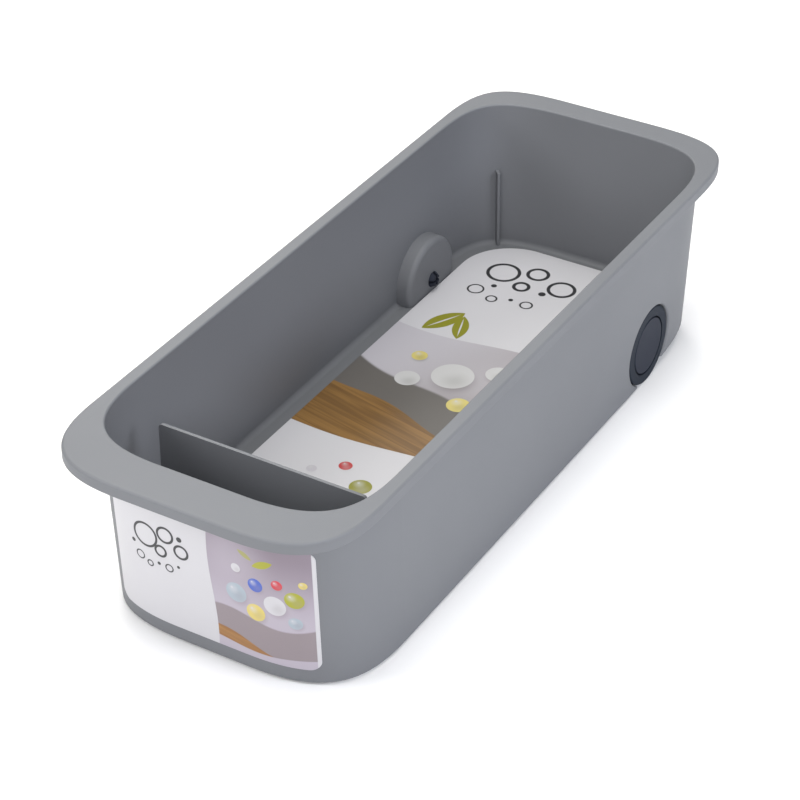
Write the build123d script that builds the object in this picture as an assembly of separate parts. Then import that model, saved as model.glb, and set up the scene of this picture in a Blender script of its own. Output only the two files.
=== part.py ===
from build123d import *
import math
import os

# Under-sink caddy: a moulded tub that stands on two front feet and rolls on two rear wheels.
# X runs across the tub, Y from the wide front grip to the rear, Z up.
# The origin is on the floor, under the middle of the rim. Millimetres.

# Overall sizes
rim_length = 404.0
rim_width = 149.0
rim_height = 97.0

# Rim: a flat flange whose outer edge turns down
rim_thickness = 2.2
lip_depth = 5.9
lip_thickness = 2.0
rim_edge_round = 1.2
rim_inner_round = 0.8
lip_foot_round = 0.5
rear_rim_corner = 47.3
front_rim_corner = 46.5

# Ledges: how far the rim reaches beyond the tub's outside, widest at the front as a grip
side_ledge = 4.7
front_ledge = 20.8
rear_ledge = 12.8

# Tub walls, measured on the outside in the rim's plane, with their lean over the full height
wall_thickness = 2.0
rear_tub_corner = 49.5
front_tub_corner = 47.5
side_lean = 1.1
front_lean = 3.8
rear_lean = 4.4
corner_growth = 3.0

# Floor and base skirt
skirt_clearance = 1.6
floor_height = 14.4
floor_thickness = 2.0
floor_round = 2.8
rear_lift = 4.4
rear_lift_angle = 4.9

# Wheel housings, moulded into both side walls near the rear
axle_setback = 73.2
wheel_radius = 21.3
housing_gap = 0.6
housing_side_gap = 1.4
housing_wall = 1.4
housing_draft = 0.5
housing_round = 3.0
housing_edge_round = 1.2
axle_hole_clearance = 0.1

# Wheel: a disc with a rolling rim, a web set back behind the axle's cap, and a hub
wheel_width = 7.0
wheel_recess = 0.5
tread_round = 0.9
web_thickness = 1.8
hub_radius = 6.6
hub_bore_clearance = 0.06
spoke_count = 6
spoke_thickness = 1.4
rim_band = 2.4

# Snap axle: a round cap, a shaft, a shoulder and four sprung barbs
cap_radius = 15.0
cap_gap = 0.9
cap_thickness = 1.6
cap_round = 0.35
cap_clearance = 0.3
shaft_radius = 4.0
shoulder_radius = 5.6
shoulder_thickness = 0.6
shoulder_clearance = 0.25
barb_radius = 4.4
barb_gap = 0.1
barb_length = 2.4
barb_tip_radius = 3.1
split_width = 1.6
split_depth = 7.0

# Nesting ribs in the four inside corners
rib_drop = 38.5
rib_width = 1.5
rib_depth = 3.6
rib_top_slope = 0.4
rib_nose_round = 0.25
rib_turn = 45.0
rib_place_share = 0.547

# Lift-out divider: an upright on a flat foot that reaches to the front wall
divider_setback = 46.0
divider_side_gap = 4.65
divider_drop = 16.4
divider_thickness = 2.0
divider_draft = 0.4
divider_corner = 2.0
divider_bend_round = 5.0
divider_foot_corner = 22.0
divider_clearance = 0.3

# Front feet: soft plugs in columns moulded under the floor
foot_inset = 29.8
foot_setback = 39.2
foot_radius = 6.0
foot_socket_depth = 3.0
foot_column_wall = 2.0
foot_column_clearance = 1.5
foot_fit = 0.08
foot_edge_round = 0.6
foot_rib_thickness = 1.6
foot_rib_reach = 4.0
foot_rib_depth = 5.0

# Stiffening ribs under the floor
floor_rib_thickness = 1.6
floor_rib_depth = 5.0
floor_rib_pitch = 62.0
floor_rib_count = 3

# Front label, wrapped round the front wall, and the card that lies on the floor
label_width = 105.0
label_top_gap = 15.1
label_low = 9.0
label_corner = 5.0
label_thickness = 0.25
label_gap = 0.05
card_side_gap = 0.65
card_rear_gap = 2.45
card_front_gap = 0.8
card_rear_corner = 30.0
card_front_corner = 3.0
card_thickness = 0.6

# How far a cutting tool runs past the face that it leaves
overrun = 2.0

# Handles of the soft corners, as shares of the corner's size: tighter at the rear, rounder in front
rear_side_share = 0.757
rear_end_share = 0.84
front_side_share = 0.65
front_end_share = 0.81
corner_shares = {1: (rear_side_share, rear_end_share), -1: (front_side_share, front_end_share)}

# The tub's outside in the rim's plane
tub_width = rim_width - side_ledge * 2
tub_front = rim_length / 2 - front_ledge
tub_rear = rim_length / 2 - rear_ledge
floor_under = floor_height - floor_thickness

# Where the wheels, their housings and the divider stand
axle_y = tub_rear - axle_setback
axle_z = wheel_radius
wheel_x = tub_width / 2 - side_lean * (rim_height - axle_z) / rim_height - wheel_recess
wheel_inner_x = wheel_x - wheel_width
housing_face_x = wheel_inner_x - housing_side_gap - housing_wall
axle_hole_radius = shaft_radius + axle_hole_clearance
divider_y = tub_front - divider_setback


def soft_corner(half_width, far, corner, end):
    """The control points of a right-hand corner, from its side to its end: rear 1, front -1."""
    side_share, end_share = corner_shares[end]
    return (
        Vector(half_width, end * (far - corner)),
        Vector(half_width, end * (far - corner * (1 - side_share))),
        Vector(half_width - corner * (1 - end_share), end * far),
        Vector(half_width - corner, end * far),
    )


def soft_outline(half_width, front, rear, corners, z):
    """A rectangle with soft corners that leave the sides gently, as a wire at height z."""
    rear_corner, front_corner = corners
    edges = []
    for end, far, corner in ((1, rear, rear_corner), (-1, front, front_corner)):
        right = [(p.X, p.Y, z) for p in soft_corner(half_width, far, corner, end)]
        left = [(-x, y, height) for x, y, height in reversed(right)]
        edges.append(Bezier(*right))
        edges.append(Line(right[-1], left[0]))
        edges.append(Bezier(*left))
    for x in (half_width, -half_width):
        edges.append(Line((x, rear - rear_corner, z), (x, front_corner - front, z)))
    return Wire(edges)


def tub_corners(z, inset):
    """The sizes of the tub's rear and front corners at height z, moved inwards by inset."""
    growth = corner_growth * (rim_height - z) / rim_height - inset
    return rear_tub_corner + growth, front_tub_corner + growth


def tub_outline(z, inset):
    """The tub's outer wall at height z, moved inwards by inset."""
    drop = (rim_height - z) / rim_height
    return soft_outline(
        tub_width / 2 - side_lean * drop - inset,
        tub_front - front_lean * drop - inset,
        tub_rear - rear_lean * drop - inset,
        tub_corners(z, inset),
        z,
    )


def tub_block(low, high, inset):
    """A solid between two heights, with the tub's leaning walls moved inwards by inset."""
    return Solid.make_loft([tub_outline(low, inset), tub_outline(high, inset)], True)


def rim_block(low, high, inset):
    """A straight block with the rim's outline moved inwards by inset."""
    half_width = rim_width / 2 - inset
    half_length = rim_length / 2 - inset
    corners = rear_rim_corner - inset, front_rim_corner - inset
    outline = soft_outline(half_width, half_length, half_length, corners, low)
    return extrude(make_face(outline.edges()), high - low)


def across(profile, x):
    """Place a solid of revolution about Z so that its axis lies along +X at the wheel's axle."""
    return Pos(x, axle_y, axle_z) * Rot(0, 90, 0) * profile


def both_sides(solid):
    """The right-hand solid and its mirror image on the left."""
    return solid, mirror(solid, Plane.YZ)


def wheel_housing(outside):
    """A round pocket in the right side wall: its drum, the wheel's space and the axle's hole."""
    depth = rim_width / 2 - housing_face_x
    radius = wheel_radius + housing_gap
    base = (Align.CENTER, Align.CENTER, Align.MIN)
    face_radius = radius + housing_wall
    drum = Cone(face_radius, face_radius + housing_draft, depth, align=base)
    drum = fillet(drum.edges().sort_by(Axis.Z)[0], housing_round)
    drum = across(drum, housing_face_x) & outside
    space = Cylinder(radius, depth, align=base)
    space = fillet(space.edges().sort_by(Axis.Z)[0], housing_round - housing_wall)
    space = across(space, housing_face_x + housing_wall)
    hole = across(Cylinder(axle_hole_radius, depth), housing_face_x)
    return drum, space, hole


def housing_edges(body):
    """The outer edges of the two wheel openings."""
    radius = wheel_radius + housing_gap
    edges = []
    for edge in body.edges():
        middle = edge @ (1 / 2)
        reach = math.hypot(middle.Y - axle_y, middle.Z - axle_z)
        if abs(middle.X) > wheel_x - wheel_recess and abs(reach - radius) < housing_gap:
            edges.append(edge)
    return edges


def corner_rib(end, reach, lean):
    """A nesting rib that points out of an inside corner and follows the wall's lean."""
    top = rim_height - rib_drop
    feet = []
    for z in (top, floor_under):
        drop = (rim_height - z) / rim_height
        far = reach - lean * drop - wall_thickness
        half_width = tub_width / 2 - side_lean * drop - wall_thickness
        corners = dict(zip((1, -1), tub_corners(z, wall_thickness)))
        feet.append(Bezier(*soft_corner(half_width, far, corners[end], end)) @ rib_place_share)
    place, low_place = feet
    inward = Vector(-1, 0).rotate(Axis.Z, end * rib_turn)
    shift = (low_place - place).dot(inward)
    side_view = Plane(Vector(place.X, place.Y, 0), x_dir=inward, z_dir=inward.cross(Vector(0, 0, 1)))
    profile = Polyline(
        (shift - wall_thickness / 2, floor_under),
        (shift + rib_depth, floor_under),
        (rib_depth, top - rib_top_slope),
        (0, top),
        (-wall_thickness / 2, top),
        close=True,
    )
    rib = extrude(side_view * make_face(profile), rib_width / 2, both=True)
    uprights = rib.edges().filter_by(lambda edge: edge.length > (top - floor_under) / 2)
    nose = uprights.sort_by(lambda edge: (edge.center() - place).dot(inward))[-2:]
    return fillet(nose, rib_nose_round)


def corner_ribs():
    """The four ribs: one in each inside corner."""
    rear_ribs = both_sides(corner_rib(1, tub_rear, rear_lean))
    front_ribs = both_sides(corner_rib(-1, tub_front, front_lean))
    return [*rear_ribs, *front_ribs]


def floor_ribs(outside):
    """Low ribs across the underside of the floor."""
    base = (Align.CENTER, Align.CENTER, Align.MAX)
    bar = Box(tub_width, floor_rib_thickness, floor_rib_depth, align=base)
    first = -floor_rib_pitch * (floor_rib_count - 1) / 2
    places = [first + floor_rib_pitch * step for step in range(floor_rib_count)]
    return [Pos(0, y, floor_under) * bar & outside for y in places]


def foot_place(side):
    """The middle of a front foot, on the floor."""
    return Pos(side * (tub_width / 2 - foot_inset), foot_setback - tub_front, 0)


def foot_column(side):
    """A hollow column under the floor that takes one front foot, tied to the floor by two ribs."""
    base = (Align.CENTER, Align.CENTER, Align.MIN)
    height = floor_under - foot_column_clearance
    column = Cylinder(foot_radius + foot_column_wall, height, align=base)
    reach = foot_radius + foot_column_wall + foot_rib_reach
    hung = (Align.CENTER, Align.CENTER, Align.MAX)
    ties = Box(reach * 2, foot_rib_thickness, foot_rib_depth, align=hung)
    column += Pos(0, 0, height) * ties
    column += Pos(0, 0, height) * Rot(0, 0, 90) * ties
    column -= Cylinder(foot_radius + foot_fit, foot_socket_depth, align=base)
    return foot_place(side) * Pos(0, 0, foot_column_clearance) * column


def rear_clearance():
    """The wedge cut from the skirt behind the wheels, so that the tub can tip back onto them."""
    length = tub_rear
    wedge = Box(rim_width, length, tub_rear, align=(Align.CENTER, Align.MIN, Align.MAX))
    return Pos(0, axle_y, rear_lift) * Rot(rear_lift_angle, 0, 0) * wedge


def tub():
    outside = tub_block(skirt_clearance, rim_height - rim_thickness / 2, 0)
    rim = rim_block(rim_height - lip_depth, rim_height, 0)
    rim = fillet(rim.edges().group_by(Axis.Z)[-1], rim_edge_round)
    rim = fillet(rim.edges().group_by(Axis.Z)[0], lip_foot_round)
    rim -= rim_block(rim_height - lip_depth - overrun, rim_height - rim_thickness, lip_thickness)
    body = rim + outside
    cavity = tub_block(floor_height, rim_height + overrun, wall_thickness)
    cavity = fillet(cavity.edges().group_by(Axis.Z)[0], floor_round)
    body -= cavity
    opening = body.faces().sort_by(Axis.Z)[-1].inner_wires()[0]
    body = fillet(opening.edges(), rim_inner_round)
    body -= tub_block(skirt_clearance - overrun, floor_under, wall_thickness)
    drum, space, hole = wheel_housing(outside)
    additions = [*both_sides(drum), *corner_ribs(), *floor_ribs(outside)]
    additions += [foot_column(side) & outside for side in (1, -1)]
    for addition in additions:
        body += addition
    for cut in (*both_sides(space), *both_sides(hole)):
        body -= cut
    body = fillet(housing_edges(body), housing_edge_round)
    return body - rear_clearance()


def divider():
    """An upright that stands across the tub on its own foot, with a rounded bend between them."""
    half = divider_thickness / 2
    floor = floor_height
    top = rim_height - divider_drop
    toe = -tub_front + front_lean + wall_thickness + floor_round + divider_clearance
    heel = -divider_y + half + divider_draft / 2
    upright = Polyline(
        (heel, floor),
        (-divider_y + half - divider_draft / 2, top),
        (-divider_y - half + divider_draft / 2, top),
        (-divider_y - half - divider_draft / 2, floor + divider_thickness),
        (toe, floor + divider_thickness),
        (toe, floor),
        close=True,
    )
    profile = make_face(Plane.YZ * upright)
    body = extrude(profile, housing_face_x - divider_side_gap, both=True)
    inner = body.edges().filter_by(Axis.X).filter_by(
        lambda edge: abs(edge.center().Z - floor - divider_thickness) < half
        and abs(edge.center().Y + divider_y) < divider_thickness * 2
    )
    body = fillet(inner, divider_bend_round)
    top = body.edges().filter_by(Axis.Y).group_by(Axis.Z)[-1]
    body = fillet(top, divider_corner)
    toes = body.edges().filter_by(Axis.Z).group_by(Axis.Y)[0]
    body = fillet(toes, divider_foot_corner)
    return body


def wheel():
    """The right wheel, turned about Z with its inner side down: rim, web, hub and spokes."""
    web_low = wheel_width - cap_thickness - cap_clearance - web_thickness
    web_high = web_low + web_thickness
    hub_low = shoulder_clearance + shoulder_thickness - housing_side_gap
    band_inner = wheel_radius - rim_band
    face_inner = cap_radius + cap_gap
    bore = shaft_radius + hub_bore_clearance
    profile = make_face(
        Polyline(
            (bore, hub_low),
            (hub_radius, hub_low),
            (hub_radius, web_low),
            (band_inner, web_low),
            (band_inner, 0),
            (wheel_radius, 0),
            (wheel_radius, wheel_width),
            (face_inner, wheel_width),
            (face_inner, web_high),
            (bore, web_high),
            close=True,
        )
    )
    body = revolve(Plane.XZ * profile, Axis.Z)
    outer = body.edges().filter_by(GeomType.CIRCLE).filter_by(lambda edge: edge.radius > band_inner)
    body = fillet(outer, tread_round)
    base = (Align.MIN, Align.CENTER, Align.MIN)
    low = tread_round
    spoke = Box(band_inner - hub_radius + rim_band, spoke_thickness, web_low - low, align=base)
    for step in range(spoke_count):
        body += Rot(0, 0, 360 * step / spoke_count) * Pos(hub_radius - rim_band / 2, 0, low) * spoke
    return body


def axle():
    """The right snap axle, turned about Z with its cap up, and split into four sprung prongs."""
    cap_low = wheel_width - cap_thickness
    shoulder_low = -housing_side_gap
    shoulder_top = shoulder_low + shoulder_thickness
    barb_top = shoulder_low - housing_wall - barb_gap
    barb_low = barb_top - barb_length
    profile = make_face(
        Polyline(
            (0, barb_low),
            (barb_tip_radius, barb_low),
            (barb_radius, barb_top - barb_gap),
            (barb_radius, barb_top),
            (shaft_radius, barb_top),
            (shaft_radius, shoulder_low),
            (shoulder_radius, shoulder_low),
            (shoulder_radius, shoulder_top),
            (shaft_radius, shoulder_top),
            (shaft_radius, cap_low),
            (cap_radius, cap_low),
            (cap_radius, wheel_width),
            (0, wheel_width),
            close=True,
        )
    )
    body = revolve(Plane.XZ * profile, Axis.Z)
    rim = body.edges().filter_by(GeomType.CIRCLE).group_by(Axis.Z)[-1]
    body = fillet(rim, cap_round)
    base = (Align.CENTER, Align.CENTER, Align.MIN)
    slot = Box(barb_radius * 2 + overrun, split_width, split_depth + overrun, align=base)
    for turn in (0, 90):
        body -= Pos(0, 0, barb_low - overrun) * Rot(0, 0, turn) * slot
    return body


def foot(side):
    """A soft plug that fills its column's socket and reaches the floor."""
    height = foot_column_clearance + foot_socket_depth
    plug = Cylinder(foot_radius, height, align=(Align.CENTER, Align.CENTER, Align.MIN))
    plug = fillet(plug.edges().group_by(Axis.Z)[0], foot_edge_round)
    return foot_place(side) * plug


def front_label():
    """A printed skin with rounded corners, wrapped round the front wall and onto its corners."""
    label_high = rim_height - lip_depth - label_top_gap
    label_height = label_high - label_low
    skin = tub_block(label_low, label_high, -label_gap - label_thickness)
    skin -= tub_block(label_low - overrun, label_high + overrun, -label_gap)
    window = RectangleRounded(label_width, label_height, label_corner)
    front = Plane((0, 0, label_low + label_height / 2), x_dir=(1, 0, 0), z_dir=(0, -1, 0))
    return skin & extrude(front * window, rim_length)


def floor_card():
    """A printed card that lies on the floor behind the divider."""
    front = -divider_y + divider_thickness / 2 + divider_draft / 2 + card_front_gap
    drop = (rim_height - floor_height) / rim_height
    rear = tub_rear - rear_lean * drop - wall_thickness - floor_round - card_rear_gap
    width = (housing_face_x - card_side_gap) * 2
    card = Box(width, rear - front, card_thickness, align=(Align.CENTER, Align.MIN, Align.MIN))
    uprights = card.edges().filter_by(Axis.Z).sort_by(Axis.Y)
    card = fillet(uprights[2:], card_rear_corner)
    uprights = card.edges().filter_by(Axis.Z).sort_by(Axis.Y)
    card = fillet(uprights[:2], card_front_corner)
    return Pos(0, front, floor_height) * card


def main():
    os.makedirs("parts", exist_ok=True)
    right_wheel, left_wheel = both_sides(across(wheel(), wheel_inner_x))
    right_axle, left_axle = both_sides(across(axle(), wheel_inner_x))
    pieces = {
        "tub": tub(),
        "divider": divider(),
        "right_wheel": right_wheel,
        "left_wheel": left_wheel,
        "right_axle": right_axle,
        "left_axle": left_axle,
        "right_foot": foot(1),
        "left_foot": foot(-1),
        "front_label": front_label(),
        "floor_card": floor_card(),
    }
    for name, piece in pieces.items():
        export_step(piece, f"parts/{name}.step")


main()
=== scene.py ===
import math

import bpy
from mathutils import Euler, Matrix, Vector

# Under-sink caddy: the printed and moulded finishes, the studio floor, the lamps and the camera.
# Metres, in the part's own frame: X across, Y from the front grip to the rear, Z up.
# Sizes inside the finishes are in millimetres.

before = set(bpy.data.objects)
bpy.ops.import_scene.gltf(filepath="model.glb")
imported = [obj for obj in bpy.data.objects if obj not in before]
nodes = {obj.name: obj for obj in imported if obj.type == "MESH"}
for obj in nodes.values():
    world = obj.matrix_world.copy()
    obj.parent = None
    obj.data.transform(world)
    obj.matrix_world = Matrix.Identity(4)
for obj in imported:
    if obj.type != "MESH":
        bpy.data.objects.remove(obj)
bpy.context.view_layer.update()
mm_per_metre = 1000

# Camera: a square picture seen from the front right, above
camera_place = Vector((0.5002, -0.8593, 0.7124))
camera_pitch = math.radians(55.62)
camera_turn = math.radians(30.691)
camera_lens = 111.74
camera_sensor = 36
camera_clip_start = 0.01
camera_clip_end = 50

# Studio
floor_half = 4.0
floor_colour = (0.93, 0.93, 0.935, 1)
floor_roughness = 0.9
floor_specular = 0.2
world_colour = (1.0, 1.0, 1.0, 1)
world_strength = 0.12

# Lamps: place, the point it faces, diameter, power and colour
lamps = {
    "top_light": ((-0.1, 0.0, 1.6), (0, 0, 0), 1.6, 23.2, (1.02, 1.015, 0.965)),
    "overhead_light": ((0.0, 0.1, 1.8), (0, 0, 0), 0.5, 2.2, (1.025, 1.02, 0.955)),
    "right_light": ((1.5, 0.1, 0.8), (0, 0, 0.05), 0.8, 16.1, (0.95, 0.98, 1.065)),
    "front_right_light": ((0.9, -1.2, 1.0), (0, 0, 0.05), 0.8, 9.1, (0.985, 0.985, 1.025)),
    "front_light": ((0.1, -1.7, 0.45), (0, 0, 0.05), 0.8, 6.8, (1, 1, 1)),
    "front_left_light": ((-1.1, -1.0, 0.9), (0, 0, 0.05), 0.8, 11.8, (1, 1, 1)),
    "rear_left_light": ((-1.0, 1.0, 1.1), (0, 0, 0.05), 0.8, 10.3, (1.03, 1.005, 0.97)),
    "near_light": ((0, -0.45, 0.8), (0, -0.15, 0.05), 0.4, 0.4, (1, 1, 1)),
}

# Colours of the moulded pieces, each a lighter and a deeper tone of one cloudy plastic
tub_light = (0.1575, 0.1635, 0.1765, 1)
tub_deep = (0.1500, 0.1555, 0.1685, 1)
wheel_light = (0.024, 0.029, 0.040, 1)
wheel_deep = (0.021, 0.026, 0.036, 1)
cap_light = (0.027, 0.031, 0.044, 1)
cap_deep = (0.024, 0.028, 0.041, 1)
rubber_light = (0.034, 0.034, 0.038, 1)
rubber_deep = (0.022, 0.022, 0.025, 1)

# Surfaces: roughness, strength and size of the fine grain, and specular level
tub_surface = {"roughness": 0.5, "grain": 0.35, "grain_size": 0.42, "specular": 0.22}
wheel_surface = {"roughness": 0.55, "grain": 0.4, "grain_size": 0.35, "specular": 0.05}
axle_surface = {"roughness": 0.5, "grain": 0.3, "grain_size": 0.35, "specular": 0.05}
foot_surface = {"roughness": 0.75, "grain": 0.5, "grain_size": 0.3, "specular": 0.4}
label_surface = {"roughness": 0.42, "grain": 0.06, "grain_size": 0.5, "specular": 0.4}
card_surface = {"roughness": 0.45, "grain": 0.05, "grain_size": 0.5, "specular": 0.35}
moulded_variation = 0.012
print_variation = 0.03
label_coat = 0.12
card_coat = 0.1
coat_roughness = 0.3

# Noise of the finishes: cloudy colour, patches of roughness and the grain
cloud_size = 90.0
patch_size = 45.0
noise_low = 0.3
noise_high = 0.7
soft_detail = 1.0
grain_detail = 3.0
grain_height_m = 0.0001

# Inks of the label, which stands in bright light
label_paper = (0.480, 0.474, 0.497, 1)
label_mauve = (0.205, 0.168, 0.205, 1)
label_lilac = (0.370, 0.335, 0.390, 1)
label_taupe = (0.225, 0.190, 0.205, 1)
label_wood = (0.310, 0.154, 0.046, 1)
label_wood_dark = (0.230, 0.105, 0.030, 1)
label_lime = (0.300, 0.300, 0.020, 1)
label_yellow = (0.540, 0.440, 0.120, 1)
label_red = (0.480, 0.030, 0.045, 1)
label_blue = (0.050, 0.095, 0.400, 1)
label_mist = (0.300, 0.350, 0.400, 1)
label_ink = (0.020, 0.020, 0.024, 1)

# Inks of the card, which lies in the shade of the walls
card_paper = (0.545, 0.541, 0.574, 1)
card_lilac = (0.460, 0.445, 0.490, 1)
card_mauve = (0.225, 0.198, 0.206, 1)
card_taupe = (0.120, 0.112, 0.105, 1)
card_wood = (0.245, 0.132, 0.040, 1)
card_wood_dark = (0.150, 0.078, 0.024, 1)
card_lime = (0.225, 0.222, 0.016, 1)
card_yellow = (0.560, 0.480, 0.150, 1)
card_red = (0.430, 0.040, 0.040, 1)
card_white = (0.500, 0.500, 0.510, 1)
card_ink = (0.024, 0.024, 0.028, 1)

# Half width of a crisp printed edge
crisp = 0.12

# Printed wood: the angle of its planks, their grain, width and joints
wood_turn = -12.0
fine_grain = {"length": 40.0, "width": 1.6, "detail": 4.0}
broad_grain = {"length": 70.0, "width": 5.0, "detail": 1.0}
wood_low = 0.75
wood_high = 1.25
plank_width = 8.0
joint_half = 0.25
joint_soft = 0.15

# Label, on X and Z. Bubbles: place, radius and ink. Rings and dots: place and radius.
label_bubbles = [
    (15.0, 43.0, 5.2, label_mist),
    (25.0, 51.0, 3.6, label_blue),
    (24.5, 35.5, 4.6, label_yellow),
    (34.0, 42.5, 5.2, label_paper),
    (35.5, 54.5, 2.6, label_red),
    (43.0, 48.0, 4.4, label_lime),
    (43.0, 35.0, 3.2, label_mist),
    (15.5, 57.0, 2.3, label_paper),
    (47.0, 57.0, 1.9, label_yellow),
]
label_large_rings = [(-32.0, 56.0, 6.2), (-21.0, 60.0, 4.0), (-24.0, 50.0, 2.8), (-13.0, 53.5, 3.4)]
label_small_rings = [(-36.0, 43.0, 2.2), (-30.5, 40.5, 1.5), (-20.0, 42.0, 1.9)]
label_dots = [(-13.5, 60.5, 1.4), (-25.5, 42.5, 0.9), (-15.0, 44.5, 0.8), (-39.5, 49.5, 1.1)]
label_large_line = 1.2
label_small_line = 0.7
label_bare_edge = 51.0
label_glow = 0.6
label_faint = 0.7
label_mauve_low = 30.0
label_mauve_high = 72.0

# Card, on X and Y, in the same columns
card_rear_bubbles = [
    (-8.0, 49.0, 11.0, card_white),
    (-27.0, 36.0, 6.5, card_white),
    (11.0, 62.0, 6.5, card_white),
    (-32.0, 57.0, 4.2, card_yellow),
    (7.0, 28.0, 6.0, card_yellow),
    (24.0, 44.0, 8.0, card_lime),
    (38.0, 66.0, 5.0, card_white),
    (40.0, 28.0, 4.0, card_yellow),
]
card_front_bubbles = [
    (-14.0, -44.0, 3.4, card_red),
    (1.0, -55.0, 5.6, card_lime),
    (-27.0, -54.0, 2.6, card_lilac),
    (17.0, -44.0, 2.4, card_yellow),
    (30.0, -58.0, 4.2, card_red),
]
card_large_rings = [(-34.0, 150.0, 8.5), (-17.0, 157.5, 5.5), (-19.0, 142.0, 4.0), (1.0, 150.0, 7.0)]
card_small_rings = [(-39.0, 128.0, 4.2), (-27.0, 123.5, 2.8), (15.0, 160.0, 4.0), (-8.0, 127.0, 3.2)]
card_dots = [(-6.0, 141.0, 2.0), (-32.0, 135.5, 1.6), (16.5, 145.0, 2.6), (-17.5, 127.5, 1.3)]
card_large_line = 1.9
card_small_line = 1.0
card_glow = 0.5
card_shade_slope = 0.4
card_shade_low = -70.0
card_shade_high = 25.0

# Sockets of the Mix node that hold colours
mix_first = 6
mix_second = 7
mix_result = 2


def add_camera():
    data = bpy.data.cameras.new("camera")
    data.sensor_width = camera_sensor
    data.lens = camera_lens
    data.clip_start = camera_clip_start
    data.clip_end = camera_clip_end
    camera = bpy.data.objects.new("camera", data)
    camera.location = camera_place
    camera.rotation_euler = Euler((camera_pitch, 0, camera_turn))
    bpy.context.scene.collection.objects.link(camera)
    bpy.context.scene.camera = camera


def add_lamp(name, place, target, size, power, colour):
    data = bpy.data.lights.new(name, "AREA")
    data.shape = "DISK"
    data.size = size
    data.energy = power
    data.color = colour
    lamp = bpy.data.objects.new(name, data)
    lamp.location = place
    direction = Vector(target) - Vector(place)
    lamp.rotation_euler = direction.to_track_quat("-Z", "Y").to_euler()
    bpy.context.scene.collection.objects.link(lamp)


def add_world():
    world = bpy.data.worlds.new("studio")
    world.use_nodes = True
    background = world.node_tree.nodes["Background"]
    background.inputs["Color"].default_value = world_colour
    background.inputs["Strength"].default_value = world_strength
    bpy.context.scene.world = world


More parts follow.
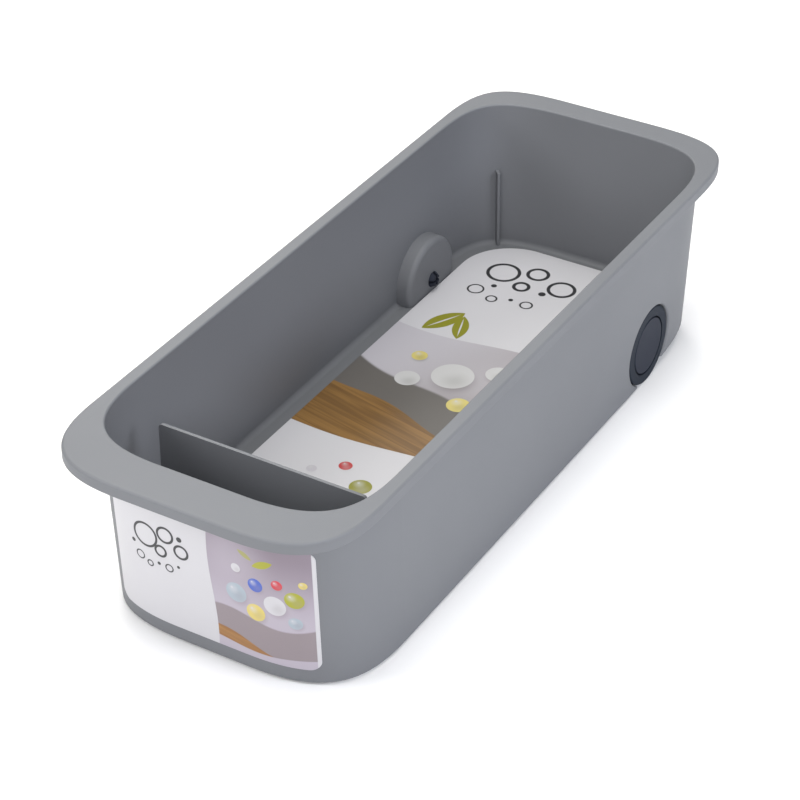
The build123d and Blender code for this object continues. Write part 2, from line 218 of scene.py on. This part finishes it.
class Finish:
    """A node material whose patterns are laid out on two of the part's own axes, in millimetres."""

    def __init__(self, name, across="X", along="Y"):
        self.material = bpy.data.materials.new(name)
        self.material.use_nodes = True
        self.tree = self.material.node_tree
        self.shader = self.tree.nodes["Principled BSDF"]
        self.place = self.node("ShaderNodeTexCoord").outputs["Object"]
        split = self.node("ShaderNodeSeparateXYZ")
        self.link(self.place, split.inputs[0])
        self.u = self.times(split.outputs[across], mm_per_metre)
        self.v = self.times(split.outputs[along], mm_per_metre)
        self.colour = None

    def node(self, kind):
        return self.tree.nodes.new(kind)

    def link(self, source, target):
        self.tree.links.new(source, target)

    def feed(self, value, socket):
        """Link an output to a socket, or set the socket to a value."""
        if isinstance(value, bpy.types.NodeSocket):
            self.link(value, socket)
        else:
            socket.default_value = value

    def math(self, operation, first, second=0.0):
        node = self.node("ShaderNodeMath")
        node.operation = operation
        self.feed(first, node.inputs[0])
        self.feed(second, node.inputs[1])
        return node.outputs[0]

    def plus(self, first, second):
        return self.math("ADD", first, second)

    def minus(self, first, second):
        return self.math("SUBTRACT", first, second)

    def times(self, first, second):
        return self.math("MULTIPLY", first, second)

    def mix(self, factor, first, second):
        node = self.node("ShaderNodeMix")
        node.data_type = "RGBA"
        self.feed(factor, node.inputs["Factor"])
        self.feed(first, node.inputs[mix_first])
        self.feed(second, node.inputs[mix_second])
        return node.outputs[mix_result]

    def noise(self, size, detail):
        """Noise with features about as large as size."""
        node = self.node("ShaderNodeTexNoise")
        node.inputs["Scale"].default_value = mm_per_metre / size
        node.inputs["Detail"].default_value = detail
        self.link(self.place, node.inputs["Vector"])
        return node.outputs["Fac"]

    def spread(self, value, low, high, new_low=0.0, new_high=1.0):
        """Map a value from one range to another, smoothly and clamped."""
        node = self.node("ShaderNodeMapRange")
        node.interpolation_type = "SMOOTHSTEP"
        self.feed(value, node.inputs["Value"])
        for socket, number in zip(node.inputs[1:5], (low, high, new_low, new_high)):
            socket.default_value = number
        return node.outputs["Result"]

    def inside(self, distance, soft=crisp):
        """1 where a signed distance is negative, fading to 0 across a crisp or a soft edge."""
        return self.spread(distance, -soft, soft, 1.0, 0.0)

    def circle(self, x, y, radius):
        """Signed distance to a circle, negative inside it."""
        dx = self.minus(self.u, x)
        dy = self.minus(self.v, y)
        square = self.plus(self.times(dx, dx), self.times(dy, dy))
        return self.minus(self.math("SQRT", square), radius)

    def ring(self, x, y, radius, width):
        return self.minus(self.math("ABSOLUTE", self.circle(x, y, radius)), width / 2)

    def leaf(self, x, y, length, width, turn):
        """A pointed leaf: where two circles meet, turned by an angle in degrees."""
        radius = (length * length + width * width) / (4 * width)
        offset = radius - width / 2
        angle = math.radians(turn + 90)
        dx = math.cos(angle) * offset
        dy = math.sin(angle) * offset
        first = self.circle(x + dx, y + dy, radius)
        second = self.circle(x - dx, y - dy, radius)
        return self.math("MAXIMUM", first, second)

    def wave(self, axis, pitch, shift):
        return self.math("SINE", self.times(self.plus(axis, shift), 2 * math.pi / pitch))

    def below(self, height, slope, swell, pitch, shift):
        """Signed height over a sloping, wavy line across the print, negative under it."""
        wave = self.times(self.wave(self.u, pitch, shift), swell)
        line = self.plus(self.times(self.u, slope), wave)
        return self.minus(self.minus(self.v, line), height)

    def beside(self, place, swell, pitch, shift):
        """Signed distance to the right of a wavy upright line, negative to its left."""
        wave = self.times(self.wave(self.v, pitch, shift), swell)
        return self.minus(self.minus(self.u, wave), place)

    def paint(self, distance, colour, cover=1.0, soft=crisp):
        """Print a shape, wholly or thinly, with a crisp or a soft edge."""
        cover = self.times(self.inside(distance, soft), cover)
        self.colour = self.mix(cover, self.colour, colour)

    def turned(self, turn):
        """The pattern's two axes turned by an angle in degrees: along and across a line."""
        cosine, sine = math.cos(math.radians(turn)), math.sin(math.radians(turn))
        along = self.plus(self.times(self.u, cosine), self.times(self.v, sine))
        across = self.minus(self.times(self.v, cosine), self.times(self.u, sine))
        return along, across

    def streaks(self, turn, length, width, detail):
        """Noise drawn out along a line."""
        along, across = self.turned(turn)
        join = self.node("ShaderNodeCombineXYZ")
        self.link(self.math("DIVIDE", along, length), join.inputs[0])
        self.link(self.math("DIVIDE", across, width), join.inputs[1])
        node = self.node("ShaderNodeTexNoise")
        node.inputs["Scale"].default_value = 1.0
        node.inputs["Detail"].default_value = detail
        self.link(join.outputs[0], node.inputs["Vector"])
        return node.outputs["Fac"]

    def coat(self, weight):
        self.shader.inputs["Coat Weight"].default_value = weight
        self.shader.inputs["Coat Roughness"].default_value = coat_roughness

    def close(self, variation, roughness, grain, grain_size, specular):
        """Close the material: colour, roughness that varies a little, and a fine bump."""
        self.link(self.colour, self.shader.inputs["Base Color"])
        self.shader.inputs["Specular IOR Level"].default_value = specular
        patch = self.noise(patch_size, soft_detail)
        least, most = roughness - variation, roughness + variation
        rough = self.spread(patch, noise_low, noise_high, least, most)
        self.link(rough, self.shader.inputs["Roughness"])
        bump = self.node("ShaderNodeBump")
        bump.inputs["Strength"].default_value = grain
        bump.inputs["Distance"].default_value = grain_height_m
        self.link(self.noise(grain_size, grain_detail), bump.inputs["Height"])
        self.link(bump.outputs["Normal"], self.shader.inputs["Normal"])
        return self.material


def moulded(name, light, deep, surface):
    """Moulded plastic: a fine satin texture and a faint cloudiness."""
    finish = Finish(name)
    cloud = finish.spread(finish.noise(cloud_size, soft_detail), noise_low, noise_high)
    finish.colour = finish.mix(cloud, deep, light)
    return finish.close(moulded_variation, **surface)


def wood(finish, light, dark):
    """Printed planks: fine straight grain along a line, and the joints between them."""
    fine = finish.streaks(wood_turn, **fine_grain)
    broad = finish.streaks(wood_turn, **broad_grain)
    tone = finish.mix(finish.spread(finish.plus(fine, broad), wood_low, wood_high), dark, light)
    across = finish.turned(wood_turn)[1]
    plank = finish.math("ABSOLUTE", finish.math("PINGPONG", across, plank_width))
    joint = finish.inside(finish.minus(plank, joint_half), joint_soft)
    return finish.mix(joint, tone, dark)


def bubbles(finish, circles, shade, glint):
    """Printed glass bubbles: a shadow, a disc, its shaded side, its bright side and a glint."""
    for x, y, radius, colour in circles:
        # Shares of the radius: right, up and size; then ink, cover and softness
        layers = [
            (0.2, -0.3, 0.9, shade, 0.45, radius * 0.4),
            (0.0, 0.0, 1.0, colour, 1.0, crisp),
            (0.3, -0.3, 0.5, shade, 0.25, radius * 0.45),
            (-0.3, 0.3, 0.35, glint, 0.5, radius * 0.35),
            (-0.42, 0.42, 0.12, glint, 0.8, crisp),
        ]
        for right, up, size, ink, cover, soft in layers:
            disc = finish.circle(x + radius * right, y + radius * up, radius * size)
            finish.paint(disc, ink, cover, soft)


def dots(finish, circles, colour):
    for x, y, radius in circles:
        finish.paint(finish.circle(x, y, radius), colour)


def rings(finish, circles, width, colour):
    for x, y, radius in circles:
        finish.paint(finish.ring(x, y, radius, width), colour)


def label_print():
    """A generic print for the label: rings on a pale field, and glass bubbles over soft hills."""
    finish = Finish("label_print", "X", "Z")
    field = finish.inside(finish.beside(place=2.5, swell=1.6, pitch=90.0, shift=6.0))
    sky = finish.spread(finish.v, label_mauve_low, label_mauve_high)
    picture = finish.mix(sky, label_lilac, label_mauve)
    glow = finish.inside(finish.circle(x=12.0, y=62.0, radius=14.0), soft=12.0)
    picture = finish.mix(finish.times(glow, label_glow), picture, label_lilac)
    line = finish.below(height=30.0, slope=0.05, swell=3.0, pitch=62.0, shift=8.0)
    picture = finish.mix(finish.inside(line, soft=0.6), picture, label_taupe)
    line = finish.below(height=21.0, slope=-0.22, swell=1.6, pitch=46.0, shift=0.0)
    planks = wood(finish, label_wood, label_wood_dark)
    picture = finish.mix(finish.inside(line, soft=0.25), picture, planks)
    line = finish.below(height=14.0, slope=-0.02, swell=1.2, pitch=60.0, shift=20.0)
    picture = finish.mix(finish.inside(line, soft=0.25), picture, label_lilac)
    finish.colour = finish.mix(field, picture, label_paper)

    bubbles(finish, label_bubbles, label_taupe, label_paper)
    leaf = finish.leaf(x=29.0, y=63.5, length=11.0, width=3.8, turn=24.0)
    finish.paint(leaf, label_lime)
    leaf = finish.leaf(x=20.5, y=66.0, length=8.0, width=2.6, turn=152.0)
    finish.paint(leaf, label_lime, label_faint)
    finish.paint(finish.minus(label_bare_edge, finish.u), label_paper)
    rings(finish, label_large_rings, label_large_line, label_ink)
    rings(finish, label_small_rings, label_small_line, label_ink)
    dots(finish, label_dots, label_ink)
    finish.coat(label_coat)
    return finish.close(print_variation, **label_surface)


def card_print():
    """A generic print for the card: rings at the rear, then lime leaves, hills and glass bubbles."""
    finish = Finish("card_print", "X", "Y")
    line = finish.below(height=82.0, slope=0.02, swell=3.0, pitch=110.0, shift=10.0)
    panel = finish.inside(line, soft=0.25)
    front = finish.below(height=-22.0, slope=0.03, swell=2.0, pitch=120.0, shift=0.0)
    slant = finish.minus(finish.u, finish.times(finish.v, card_shade_slope))
    shade = finish.spread(slant, card_shade_low, card_shade_high)
    picture = finish.mix(shade, card_lilac, card_mauve)
    glow = finish.inside(finish.circle(x=18.0, y=52.0, radius=20.0), soft=18.0)
    picture = finish.mix(finish.times(glow, card_glow), picture, card_lilac)
    line = finish.below(height=26.0, slope=-0.32, swell=4.0, pitch=96.0, shift=20.0)
    picture = finish.mix(finish.inside(line, soft=1.2), picture, card_taupe)
    line = finish.below(height=4.0, slope=-0.24, swell=2.5, pitch=80.0, shift=44.0)
    planks = wood(finish, card_wood, card_wood_dark)
    picture = finish.mix(finish.inside(line, soft=0.3), picture, planks)
    finish.colour = finish.mix(panel, card_paper, picture)

    finish.paint(front, card_paper)
    bubbles(finish, card_rear_bubbles, card_taupe, card_white)
    bubbles(finish, card_front_bubbles, card_lilac, card_white)
    leaf = finish.leaf(x=-38.0, y=92.0, length=27.0, width=11.0, turn=62.0)
    finish.paint(leaf, card_lime)
    leaf = finish.leaf(x=-27.0, y=90.5, length=22.0, width=8.5, turn=108.0)
    finish.paint(leaf, card_lime)
    vein = finish.leaf(x=-38.0, y=92.0, length=21.0, width=1.0, turn=62.0)
    finish.paint(vein, card_paper)
    vein = finish.leaf(x=-27.0, y=90.5, length=17.0, width=0.9, turn=108.0)
    finish.paint(vein, card_paper)
    rings(finish, card_large_rings, card_large_line, card_ink)
    rings(finish, card_small_rings, card_small_line, card_ink)
    dots(finish, card_dots, card_ink)
    finish.coat(card_coat)
    return finish.close(print_variation, **card_surface)


def floor_finish():
    finish = Finish("floor_finish")
    finish.shader.inputs["Base Color"].default_value = floor_colour
    finish.shader.inputs["Roughness"].default_value = floor_roughness
    finish.shader.inputs["Specular IOR Level"].default_value = floor_specular
    return finish.material


def add_floor():
    mesh = bpy.data.meshes.new("studio_floor")
    corners = [(-1, -1), (1, -1), (1, 1), (-1, 1)]
    points = [(x * floor_half, y * floor_half, 0) for x, y in corners]
    mesh.from_pydata(points, [], [(0, 1, 2, 3)])
    floor = bpy.data.objects.new("studio_floor", mesh)
    bpy.context.scene.collection.objects.link(floor)
    floor.data.materials.append(floor_finish())


def dress(names, material):
    """Give CAD nodes their finish."""
    for name in names:
        mesh = nodes[name].data
        mesh.materials.clear()
        mesh.materials.append(material)
        for polygon in mesh.polygons:
            polygon.material_index = 0


add_camera()
add_world()
add_floor()
for lamp_name, lamp in lamps.items():
    add_lamp(lamp_name, *lamp)

dress(["tub"], moulded("tub_plastic", tub_light, tub_deep, tub_surface))
dress(["divider"], moulded("divider_plastic", tub_light, tub_deep, tub_surface))
wheel_plastic = moulded("wheel_plastic", wheel_light, wheel_deep, wheel_surface)
dress(["right_wheel", "left_wheel"], wheel_plastic)
axle_plastic = moulded("axle_plastic", cap_light, cap_deep, axle_surface)
dress(["right_axle", "left_axle"], axle_plastic)
foot_rubber = moulded("foot_rubber", rubber_light, rubber_deep, foot_surface)
dress(["right_foot", "left_foot"], foot_rubber)
dress(["front_label"], label_print())
dress(["floor_card"], card_print())

bpy.context.scene.view_settings.view_transform = "Standard"
